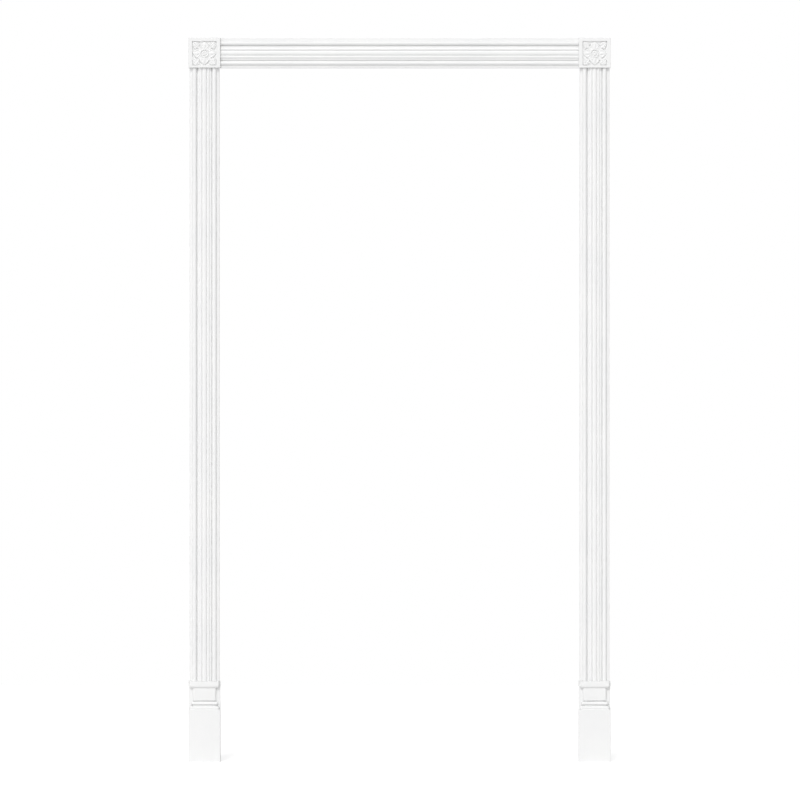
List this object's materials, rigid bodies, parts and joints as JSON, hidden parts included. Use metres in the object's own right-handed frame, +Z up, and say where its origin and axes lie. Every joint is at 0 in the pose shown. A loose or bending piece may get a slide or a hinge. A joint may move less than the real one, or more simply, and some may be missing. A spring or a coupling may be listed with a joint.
{
  "type": "door surround moulding",
  "caption": "Painted wooden door surround: beaded side and head casings, carved rosette corner blocks and moulded plinth blocks, made to be fixed round a doorway.",
  "frame": {"origin": "on the wall plane, at the middle of the head casing's back", "axes": "+Z up, +X to the right as seen from the front, +Y into the wall, so that the front faces -Y"},
  "size_m": [1.2602, 0.03, 2.161],
  "materials": {
    "white_paint": "smooth white satin paint on primed wood"
  },
  "bodies": {
    "root": {"head_casing": "white_paint", "side_casing_left": "white_paint", "side_casing_right": "white_paint", "rosette_left": "white_paint", "rosette_right": "white_paint", "plinth_left": "white_paint", "plinth_right": "white_paint"}
  },
  "joints": []
}
